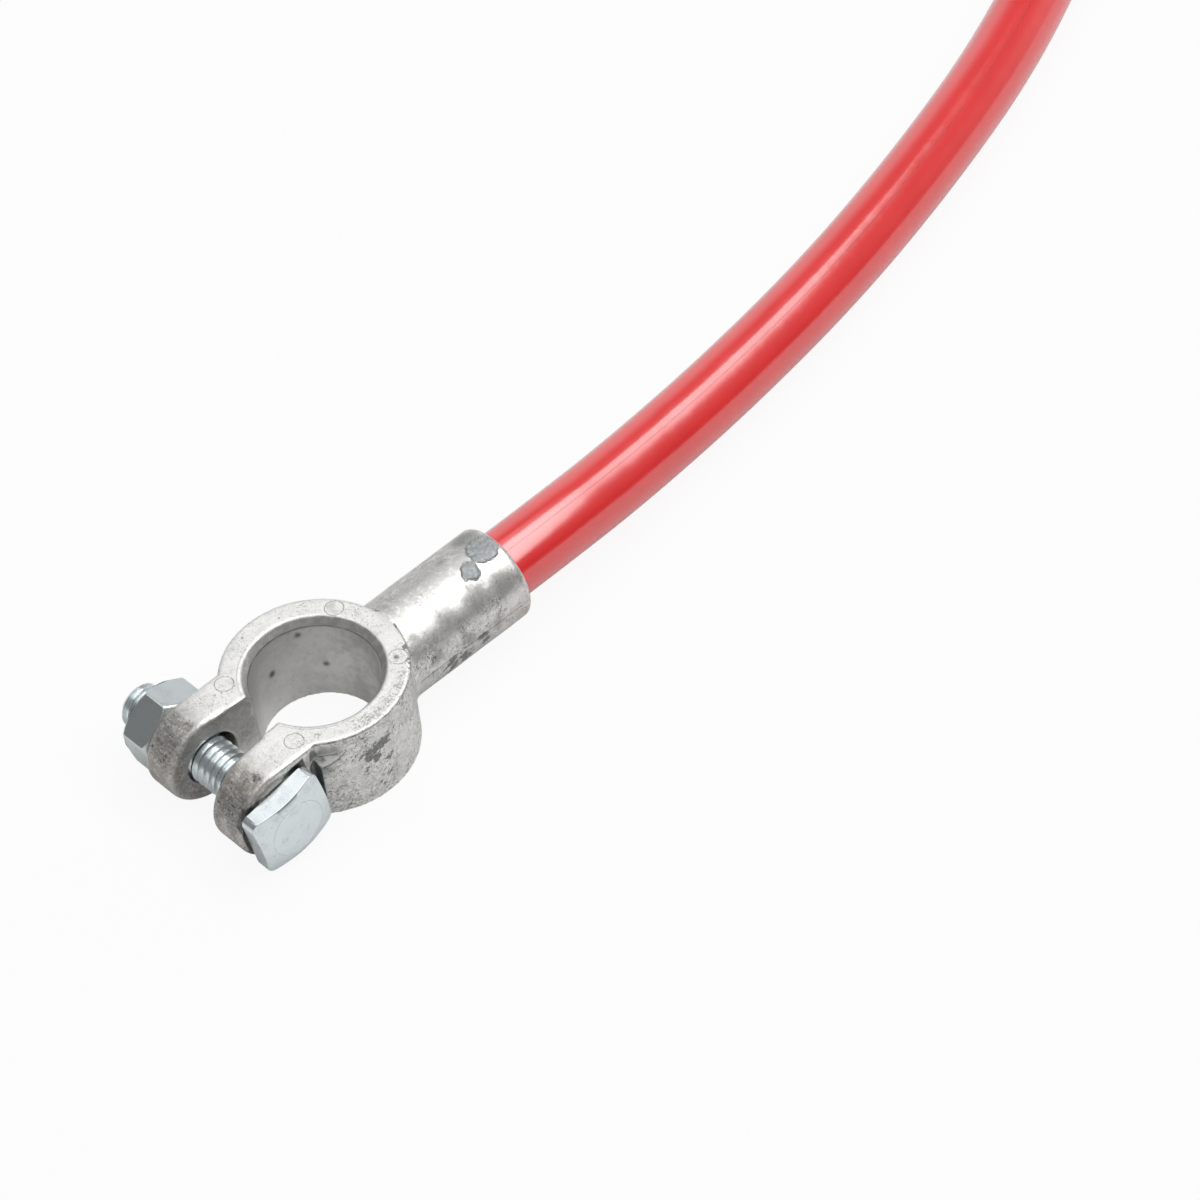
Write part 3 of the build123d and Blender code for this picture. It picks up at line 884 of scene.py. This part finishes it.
class Blank:
    """A bmesh piece worked in millimetres about its own Z axis, then set in the clamp's frame."""

    def __init__(self, axis: Axis, origin: Point) -> None:
        """Start an empty piece.

        Args:
            axis: Where its local X, Y and Z point.
            origin: Its local origin in millimetres in the clamp's frame.
        """
        self.bm = bmesh.new()
        columns = Matrix(axis.value).transposed().to_4x4()
        self.place = Matrix.Scale(MM, 4) @ Matrix.Translation(origin) @ columns

    def turn(self, profile: Sequence[tuple[float, float]], steps: int, closed: bool = False, turns: float = 1.0,
             pitch: float = 0.0) -> None:
        """Turn a profile round local Z, along a helix where a pitch is given.

        Args:
            profile: Points as (radius, height).
            steps: Steps in one turn.
            closed: Whether the profile is a loop.
            turns: How many turns.
            pitch: Rise in each turn.
        """
        verts = [self.bm.verts.new((r, 0.0, h)) for r, h in profile]
        pairs = list(zip(verts, verts[1:])) + ([(verts[-1], verts[0])] if closed else [])
        edges = [self.bm.edges.new(pair) for pair in pairs]
        count = round(steps * turns)
        bmesh.ops.spin(self.bm, geom=verts + edges, cent=(0, 0, 0), axis=(0, 0, 1), dvec=(0, 0, pitch * turns / count),
                       angle=2 * math.pi * turns, steps=count, use_merge=(turns == 1.0 and pitch == 0.0),
                       use_normal_flip=False, use_duplicate=False)
        bmesh.ops.remove_doubles(self.bm, verts=self.bm.verts, dist=1e-5)

    def mill(self, point: Vector, outward: Vector) -> None:
        """Cut off all that lies beyond a plane, and close the cut.

        Args:
            point: A point on the plane.
            outward: The plane's normal, towards what is cut off.
        """
        geometry = list(self.bm.verts) + list(self.bm.edges) + list(self.bm.faces)
        bmesh.ops.bisect_plane(self.bm, geom=geometry, plane_co=point, plane_no=outward, clear_outer=True, dist=1e-6)
        open_edges = [edge for edge in self.bm.edges if len(edge.link_faces) == 1]
        bmesh.ops.holes_fill(self.bm, edges=open_edges, sides=0)

    def round_over(self, width: float, segments: int, sharpest: float) -> None:
        """Round over every edge that is sharper than a limit.

        Args:
            width: Bevel width in millimetres.
            segments: Bevel segments.
            sharpest: The limit in degrees.
        """
        limit = math.radians(sharpest)
        bmesh.ops.remove_doubles(self.bm, verts=self.bm.verts, dist=width * 0.4)
        bmesh.ops.dissolve_degenerate(self.bm, edges=self.bm.edges, dist=1e-4)
        edges = [edge for edge in self.bm.edges if len(edge.link_faces) == 2 and edge.calc_face_angle(0.0) > limit]
        bmesh.ops.bevel(self.bm, geom=edges, offset=width, offset_type="OFFSET", segments=segments, profile=0.5,
                        affect="EDGES", clamp_overlap=False, material=-1)

    def finish(self, name: str, smooth_angle: float = 30.0) -> bpy.types.Object:
        """Close, orient and place the piece, and link it as an object.

        Args:
            name: The object's name.
            smooth_angle: Edges sharper than this many degrees stay sharp.

        Returns:
            The object.
        """
        bmesh.ops.remove_doubles(self.bm, verts=self.bm.verts, dist=1e-5)
        bmesh.ops.recalc_face_normals(self.bm, faces=self.bm.faces)
        bmesh.ops.transform(self.bm, matrix=self.place, verts=self.bm.verts)
        return link_mesh(name, self.bm, smooth_angle)


def link_mesh(name: str, bm: bmesh.types.BMesh, smooth_angle: float) -> bpy.types.Object:
    """Turn a bmesh into a linked, smooth-shaded object.

    Args:
        name: The object's name.
        bm: The bmesh, which is freed.
        smooth_angle: Edges sharper than this many degrees stay sharp.

    Returns:
        The object.
    """
    limit = math.radians(smooth_angle)
    for face in bm.faces:
        face.smooth = True
    for edge in bm.edges:
        edge.smooth = not (len(edge.link_faces) == 2 and edge.calc_face_angle(0.0) > limit)
    mesh = bpy.data.meshes.new(name)
    bm.to_mesh(mesh)
    bm.free()
    piece = bpy.data.objects.new(name, mesh)
    bpy.context.scene.collection.objects.link(piece)
    return piece


# ---------------------------------------------------------------------------
# Pieces
# ---------------------------------------------------------------------------


@dataclass
class CableLead:
    """The red lead: jacket on its route, copper core and the lug at its end."""

    jacket_r: float = 5.85 * MM
    core_r: float = 4.2 * MM
    length: float = 0.32
    round_cuts: int = 12
    run_cuts: int = 24
    mouth: Point = (0.0373, 0.0, 0.0081)
    route: tuple[Point, ...] = (
        (0.0280, 0.0000, 0.0081),
        (0.0460, 0.0000, 0.0081),
        (0.0660, 0.0014, 0.0066),
        (0.0920, 0.0040, 0.0059),
        (0.1200, 0.0082, 0.0059),
        (0.1480, 0.0149, 0.0059),
        (0.1760, 0.0236, 0.0059),
        (0.2030, 0.0360, 0.0059),
        (0.2280, 0.0540, 0.0059),
        (0.2480, 0.0770, 0.0059),
        (0.2600, 0.1050, 0.0059),
        (0.2630, 0.1330, 0.0059),
        (0.2590, 0.1580, 0.0059),
    )

    def _line(self, name: str, radius: float) -> bpy.types.Object:
        """A round bar on a smooth spline along the route.

        Args:
            name: The object's name.
            radius: The bar's radius in metres.

        Returns:
            The curve object.
        """
        curve = bpy.data.curves.new(name, "CURVE")
        curve.dimensions = "3D"
        curve.bevel_depth = radius
        curve.bevel_resolution = self.round_cuts
        curve.use_fill_caps = True
        spline = curve.splines.new("NURBS")
        spline.points.add(len(self.route) - 1)
        for knot, point in zip(spline.points, self.route):
            knot.co = (*point, 1.0)
        spline.order_u = 3
        spline.use_endpoint_u = True
        spline.resolution_u = self.run_cuts
        piece = bpy.data.objects.new(name, curve)
        bpy.context.scene.collection.objects.link(piece)
        return piece

    def build(self) -> None:
        """Lay the jacket and core, and dress the lug."""
        jacket = self._line("jacket_tube", self.jacket_r)
        dress(jacket, RedJacket().make())
        core = self._line("core_strands", self.core_r)
        dress(core, SoftMetal("bare_copper", (0.72, 0.33, 0.20), (0.40, 0.17, 0.10), 0.3).make())
        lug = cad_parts["cable_lug"]
        dress(lug, SoftMetal("tinned_copper", (0.66, 0.65, 0.63), (0.42, 0.41, 0.39), 0.40).make())
        for piece, node in ((jacket, "cable_jacket"), (core, "cable_core")):
            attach(piece, "clamp")
            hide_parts(node)
        LOG.info("lead: jacket, core and lug")


@dataclass
class ClampBody:
    """The cast ring, ears and cable barrel, with the softened edges of a casting."""

    # Corners of the relief beside the bolt head, in millimetres: foot, waist and top.
    relief: tuple[Point, ...] = (
        (-11.85, -12.6, -0.5), (-11.05, -10.05, -0.5), (-9.78, -9.95, -0.5), (-9.2, -12.6, -0.5),
        (-11.75, -12.6, 12.0), (-11.0, -10.05, 12.0), (-9.78, -9.95, 12.0), (-9.2, -12.6, 12.0),
        (-11.4, -12.6, 15.6), (-10.95, -11.1, 15.6), (-10.3, -11.1, 15.6), (-9.6, -12.6, 15.6))
    voxel: float = 0.28 * MM
    weld: float = 0.002 * MM
    crisp_rounds: int = 1
    cast_rounds: int = 1
    hollow_rounds: int = 10
    hollow_depth: float = 0.12 * MM
    top_low: float = 15.7 * MM
    cut_low: float = 13.4 * MM
    cut_r: float = 11.75 * MM
    unevenness: float = 0.05 * MM
    lump: float = 5.0 * MM

    @staticmethod
    def _smooth(bm: bmesh.types.BMesh, verts: Sequence[bmesh.types.BMVert], rounds: int) -> None:
        """Relax some of a mesh's points.

        Args:
            bm: The mesh.
            verts: The points to relax.
            rounds: How many times.
        """
        for _ in range(rounds):
            bmesh.ops.smooth_vert(bm, verts=verts, factor=0.5, use_axis_x=True, use_axis_y=True, use_axis_z=True)

    @staticmethod
    def _as_shown(piece: bpy.types.Object) -> bpy.types.Mesh:
        """A new mesh of a piece with its modifiers applied."""
        return bpy.data.meshes.new_from_object(piece.evaluated_get(bpy.context.evaluated_depsgraph_get()))

    def _machined(self, place: Vector) -> bool:
        """Whether a point is on the mouth that was cut after casting, whose edges are crisp."""
        return place.z > self.cut_low and math.hypot(place.x, place.y) < self.cut_r

    def _cutter(self) -> bpy.types.Object:
        """Make the upright relief between the bolt head's seat and the ring.

        Returns:
            The relief as a solid to cut away.
        """
        bm = bmesh.new()
        for corner in self.relief:
            bm.verts.new(Vector(corner) * MM)
        bmesh.ops.convex_hull(bm, input=bm.verts)
        bmesh.ops.recalc_face_normals(bm, faces=bm.faces)
        return link_mesh("relief_cutter", bm, 30.0)

    def _carve(self) -> tuple[bpy.types.Object, BVHTree]:
        """Cut the relief into a copy of the casting and give it an even grain.

        Returns:
            The casting in even small faces, and its carved surface before that.
        """
        bm = bmesh.new()
        bm.from_mesh(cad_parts["clamp_casting"].data)
        bmesh.ops.remove_doubles(bm, verts=bm.verts, dist=self.weld)
        casting = link_mesh("cast_body", bm, 180.0)
        casting.data.materials.clear()
        cutter = self._cutter()
        carve = casting.modifiers.new("head_relief", "BOOLEAN")
        carve.operation, carve.solver, carve.object = "DIFFERENCE", "EXACT", cutter
        bm = bmesh.new()
        bm.from_mesh(self._as_shown(casting))
        surface = BVHTree.FromBMesh(bm)
        bm.free()
        even = casting.modifiers.new("grain_size", "REMESH")
        even.mode, even.voxel_size, even.use_smooth_shade = "VOXEL", self.voxel, True
        grained = self._as_shown(casting)
        casting.modifiers.clear()
        bpy.data.objects.remove(cutter)
        casting.data = grained
        return casting, surface

    def _soften(self, mesh: bpy.types.Mesh, surface: BVHTree) -> None:
        """Ease the cast edges, mark the hollows and make the skin slightly uneven.

        Args:
            mesh: The casting in even small faces.
            surface: The carved surface that its points belong on.
        """
        bm = bmesh.new()
        bm.from_mesh(mesh)
        for vert in bm.verts:
            vert.co = surface.find_nearest(vert.co)[0]
        below_top = [vert for vert in bm.verts if vert.co.z < self.top_low]
        self._smooth(bm, [vert for vert in bm.verts if not self._machined(vert.co)], self.crisp_rounds)
        self._smooth(bm, [vert for vert in below_top if not self._machined(vert.co)], self.cast_rounds)
        bm.normal_update()
        sharp = [(vert.co.copy(), vert.normal.copy()) for vert in bm.verts]
        self._smooth(bm, bm.verts, self.hollow_rounds)
        hollow = bm.verts.layers.float.new(HOLLOW)
        for vert, (place, normal) in zip(bm.verts, sharp):
            rise = (vert.co - place).dot(normal) / self.hollow_depth
            vert[hollow] = min(1.0, max(0.0, 0.5 + 0.5 * rise))
            uneven = 0.0 if self._machined(place) else self.unevenness
            vert.co = place + normal * (noise.noise(place / self.lump) * uneven)
        bm.to_mesh(mesh)
        bm.free()

    def build(self) -> None:
        """Carve, soften and dress the casting."""
        casting, surface = self._carve()
        self._soften(casting.data, surface)
        dress(casting, CastAlloy().make())
        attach(casting, "clamp")
        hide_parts("clamp_casting")
        LOG.info("casting: %d faces", len(casting.data.polygons))


@dataclass
class SquareBolt:
    """The square-head bolt, threaded all the way."""

    centre: Point = (-18.3, -11.6, 7.65)
    width: float = 13.3
    depth: float = 12.5
    height: float = 3.9
    corner_r: float = 1.5
    turn: float = 10.0
    crown_r: float = 4.85
    crown_drop: float = 1.6
    crest_r: float = 3.93
    root_r: float = 3.27
    pitch: float = 1.25
    length: float = 33.1
    tip_chamfer: float = 0.75
    corner_cuts: int = 7
    thread_steps: int = 48
    stock: float = 0.3
    edge_r: float = 0.16
    edge_cuts: int = 2
    edge_angle: float = 35.0

    def head(self) -> Blank:
        """Turn the crowned blank and mill it to the rounded square.

        Returns:
            The head.
        """
        blank = Blank(Axis.BOLT_HEADWARD, self.centre)
        outer = math.hypot(self.width, self.depth) / 2
        fall = self.crown_drop / (outer - self.crown_r)
        reach = outer + self.stock
        blank.turn(((0.0, 0.0), (reach, 0.0), (reach, self.height - fall * (reach - self.crown_r)),
                    (self.crown_r + 0.25, self.height - fall * 0.25), (self.crown_r - 0.1, self.height - 0.02),
                    (self.crown_r - 0.4, self.height), (0.0, self.height)), ROUND_STEPS)
        half_u, half_v = self.width / 2, self.depth / 2
        for quarter in range(4):
            middle = Vector((half_u - self.corner_r, half_v - self.corner_r))
            if quarter % 2:
                middle = Vector((half_v - self.corner_r, half_u - self.corner_r))
            for cut in range(self.corner_cuts + 1):
                lean = math.pi / 2 * cut / self.corner_cuts
                normal = Vector((math.cos(lean), math.sin(lean)))
                point = middle + normal * self.corner_r
                spin = Matrix.Rotation(math.radians(self.turn + 90 * quarter), 2)
                blank.mill((spin @ point).to_3d(), (spin @ normal).to_3d())
        blank.round_over(self.edge_r, self.edge_cuts, self.edge_angle)
        return blank

    def shank(self) -> Blank:
        """Run the thread along the whole shank and chamfer its tip.

        Returns:
            The shank.
        """
        blank = Blank(Axis.BOLT_TIPWARD, self.centre)
        low, high = self.root_r, self.crest_r
        profile = [(high, 0.0), (high, 0.09), (low + 0.20, 0.36), (low + 0.07, 0.47), (low, 0.60), (low, 0.74),
                   (low + 0.07, 0.87), (low + 0.20, 0.98), (high, self.pitch)]
        lead_in = 2 * self.pitch
        turns = math.ceil(self.length / self.pitch) + 4.0
        blank.turn([(r, h - lead_in) for r, h in profile], self.thread_steps, turns=turns, pitch=self.pitch)
        blank.mill(Vector((0, 0, -0.05)), Vector((0, 0, -1)))
        blank.mill(Vector((0, 0, self.length)), Vector((0, 0, 1)))
        for vert in blank.bm.verts:
            limit = self.crest_r - self.tip_chamfer + (self.length - vert.co.z)
            radius = math.hypot(vert.co.x, vert.co.y)
            if radius > limit:
                vert.co.x, vert.co.y = vert.co.x * limit / radius, vert.co.y * limit / radius
        return blank

    def build(self) -> None:
        """Make the head and shank as one piece."""
        shank = self.shank().finish("bolt_shank")
        bolt = self.head().finish("square_bolt")
        bm = bmesh.new()
        bm.from_mesh(bolt.data)
        bm.from_mesh(shank.data)
        bm.to_mesh(bolt.data)
        bm.free()
        bpy.data.objects.remove(shank)
        even_normals(bolt)
        x, y, z = self.centre
        dress(bolt, ZincPlate(tone=(0.86, 0.925, 0.94), scratched=0.45, face_centre=(x, y - self.height, z),
                              face_r=self.crown_r).make())
        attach(bolt, "bolt")
        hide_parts("clamp_bolt")
        LOG.info("bolt: %d faces", len(bolt.data.polygons))


@dataclass
class HexNut:
    """The hexagon nut."""

    centre: Point = (-18.3, 11.4, 7.65)
    flats: float = 13.0
    thick: float = 6.0
    bore_r: float = 4.0
    sink_r: float = 4.5
    chamfer_r: float = 6.25
    chamfer_angle: float = 37.0
    first_corner: float = -12.0
    stock: float = 0.2
    edge_r: float = 0.32
    edge_cuts: int = 4
    edge_angle: float = 22.0

    def build(self) -> None:
        """Turn the chamfered blank and mill its six flats."""
        blank = Blank(Axis.BOLT_TIPWARD, self.centre)
        reach = self.flats / math.sqrt(3) + self.stock
        fall = math.tan(math.radians(self.chamfer_angle)) * (reach - self.chamfer_r)
        sink = self.sink_r - self.bore_r
        blank.turn(((self.bore_r, sink), (self.sink_r, 0.0), (self.chamfer_r, 0.0), (reach, fall),
                    (reach, self.thick - fall), (self.chamfer_r, self.thick), (self.sink_r, self.thick),
                    (self.bore_r, self.thick - sink)), ROUND_STEPS, closed=True)
        for side in range(6):
            angle = math.radians(self.first_corner + 30 + 60 * side)
            normal = Vector((math.cos(angle), math.sin(angle), 0))
            blank.mill(normal * self.flats / 2, normal)
        blank.round_over(self.edge_r, self.edge_cuts, self.edge_angle)
        nut = blank.finish("hexagon_nut")
        even_normals(nut)
        dress(nut, ZincPlate("zinc_plate_nut", tone=(0.70, 0.75, 0.745), scratched=0.15).make())
        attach(nut, "nut")
        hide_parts("clamp_nut")
        LOG.info("nut: %d faces", len(nut.data.polygons))


@dataclass
class Studio:
    """Pale floor, dim surround, two soft boxes and the camera."""

    azimuth: float = -39.01
    elevation: float = 48.05
    roll: float = 6.34
    offset: tuple[float, float] = (-42.28 * MM, -21.46 * MM)
    distance: float = 978.33 * MM
    focal_px: float = 6363.6
    picture_px: float = 1200.0
    sensor: float = 36.0
    clip: Span = (0.05, 20.0)
    floor_half: float = 3.0
    floor_grey: Colour = (0.8, 0.8, 0.8)
    floor_seen: float = 0.92
    floor_mirrored: float = 0.1
    surround: float = 0.20
    low_right: float = 0.60
    low_front: float = 0.13
    lamps: tuple[tuple[str, Point, tuple[float, float], float], ...] = (
        ("overhead", (0.075, -0.09, 1.0), (1.15, 1.58), 6.3),
        ("strip", (0.60, -0.42, 1.001), (0.42, 1.50), 6.3))

    def axes(self) -> tuple[Vector, Vector, Vector]:
        """Work out which way the camera faces.

        Returns:
            Its right, up and back directions.
        """
        a, e, r = (math.radians(v) for v in (self.azimuth, self.elevation, self.roll))
        back = Vector((math.sin(a) * math.cos(e), -math.cos(a) * math.cos(e), math.sin(e)))
        right = (-back).cross(Vector((0, 0, 1))).normalized()
        up = right.cross(-back)
        return (math.cos(r) * right - math.sin(r) * up, math.sin(r) * right + math.cos(r) * up, back)

    def camera(self) -> None:
        """Place the camera."""
        right, up, back = self.axes()
        data = bpy.data.cameras.new("camera")
        data.sensor_width = self.sensor
        data.lens = self.focal_px / self.picture_px * self.sensor
        data.clip_start, data.clip_end = self.clip
        eye = -(self.offset[0] * right + self.offset[1] * up - self.distance * back)
        camera = bpy.data.objects.new("camera", data)
        camera.matrix_world = Matrix.Translation(eye) @ Matrix((right, up, back)).transposed().to_4x4()
        bpy.context.scene.collection.objects.link(camera)
        bpy.context.scene.camera = camera

    def floor(self) -> None:
        """Lay the pale floor, white to the camera and in reflections, with the object's shadow."""
        bm = bmesh.new()
        bmesh.ops.create_grid(bm, x_segments=1, y_segments=1, size=self.floor_half)
        floor = link_mesh("floor", bm, 30.0)
        paint = Paint("pale_floor")
        seen = paint.node("ShaderNodeLightPath", {}, {}, "Is Camera Ray")
        glossy = Value(paint, seen.socket.node.outputs["Is Glossy Ray"])
        matte = paint.node("ShaderNodeBsdfDiffuse", {}, {"Color": self.floor_grey})
        glow = paint.node("ShaderNodeEmission", {}, {"Color": WHITE, "Strength": 1.0})
        bright = seen * self.floor_seen + glossy * self.floor_mirrored
        mixed = paint.node("ShaderNodeMixShader", {}, {0: bright, 1: matte, 2: glow})
        out = next(n for n in paint.tree.nodes if n.type == "OUTPUT_MATERIAL")
        paint.plug(out.inputs["Surface"], mixed)
        floor.data.materials.append(paint.material)

    def sky(self) -> None:
        """A dim studio surround, paler low on the right, and white to the camera."""
        world = bpy.data.worlds.new("studio")
        bpy.context.scene.world = world
        world.use_nodes = True
        book = NodeBook(world.node_tree)
        background = next(n for n in world.node_tree.nodes if n.type == "BACKGROUND")
        x, y, z = book.split(book.node("ShaderNodeTexCoord", {}, {}, "Generated"))
        low_right = (x * 0.83 + y * 0.55).ease(0.15, 0.85) * z.ease(0.72, 0.35)
        low_front = (y * -1.0).ease(0.5, 0.9) * z.ease(0.45, 0.2)
        level = self.surround + low_right * self.low_right - low_front * self.low_front
        grey = book.node("ShaderNodeCombineColor", {}, {0: level, 1: level, 2: level * 1.02})
        seen = book.node("ShaderNodeLightPath", {}, {}, "Is Camera Ray")
        book.plug(background.inputs["Color"], book.blend(seen, grey, WHITE))
        background.inputs["Strength"].default_value = 1.0

    def soft_boxes(self) -> None:
        """Hang the overhead soft box and the brighter strip at its right."""
        for name, centre, size, watts in self.lamps:
            data = bpy.data.lights.new(name, "AREA")
            data.shape = "RECTANGLE"
            data.size, data.size_y = size
            data.energy = watts
            lamp = bpy.data.objects.new(name, data)
            lamp.location = centre
            bpy.context.scene.collection.objects.link(lamp)

    def build(self) -> None:
        """Set up the view, camera, floor, surround and lamps."""
        bpy.context.scene.view_settings.view_transform = "Standard"
        self.camera()
        self.floor()
        self.sky()
        self.soft_boxes()
        LOG.info("studio ready")


def main() -> None:
    """Build every piece in order."""
    logging.basicConfig(level=logging.INFO, format="%(message)s")
    for piece in (Studio(), CableLead(), ClampBody(), SquareBolt(), HexNut()):
        piece.build()


if __name__ == "__main__":
    main()
